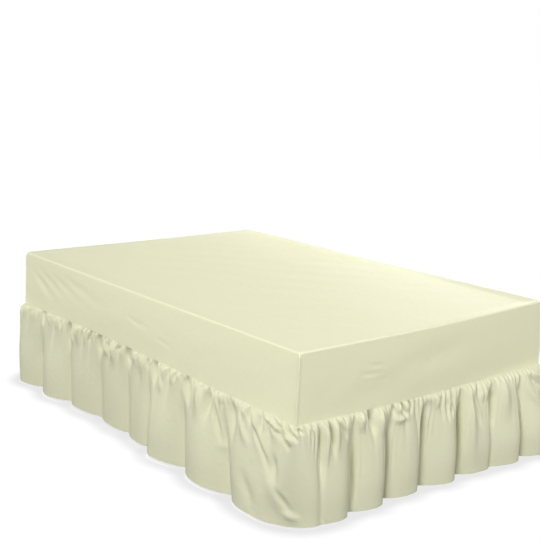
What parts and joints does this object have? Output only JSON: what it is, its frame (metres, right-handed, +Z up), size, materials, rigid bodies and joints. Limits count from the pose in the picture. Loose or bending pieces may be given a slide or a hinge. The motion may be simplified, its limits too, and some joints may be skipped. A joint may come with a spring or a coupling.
{
  "type": "frilled bed skirt on a divan bed with its mattress",
  "caption": "Fitted bed skirt: a smooth box-cornered cover over the mattress, with a gathered frill hanging to the floor all round.",
  "frame": {"origin": "on the floor, under the middle of the bed, at the bottom centre of the bounding box", "axes": "+Z up, +Y along the bed's length towards its head, +X across it"},
  "size_m": [1.4837, 2.0957, 0.6292],
  "materials": {
    "cotton": "plain cream woven cotton, matt with a faint sheen",
    "ticking": "matt woven ticking",
    "base_cloth": "matt woven upholstery cloth",
    "foot_plastic": "matt moulded plastic"
  },
  "bodies": {
    "root": {"fitted_cover": "cotton", "frill": "cotton", "mattress": "ticking", "divan_base": "base_cloth", "foot_1": "foot_plastic", "foot_2": "foot_plastic", "foot_3": "foot_plastic", "foot_4": "foot_plastic", "foot_5": "foot_plastic", "foot_6": "foot_plastic"}
  },
  "joints": []
}
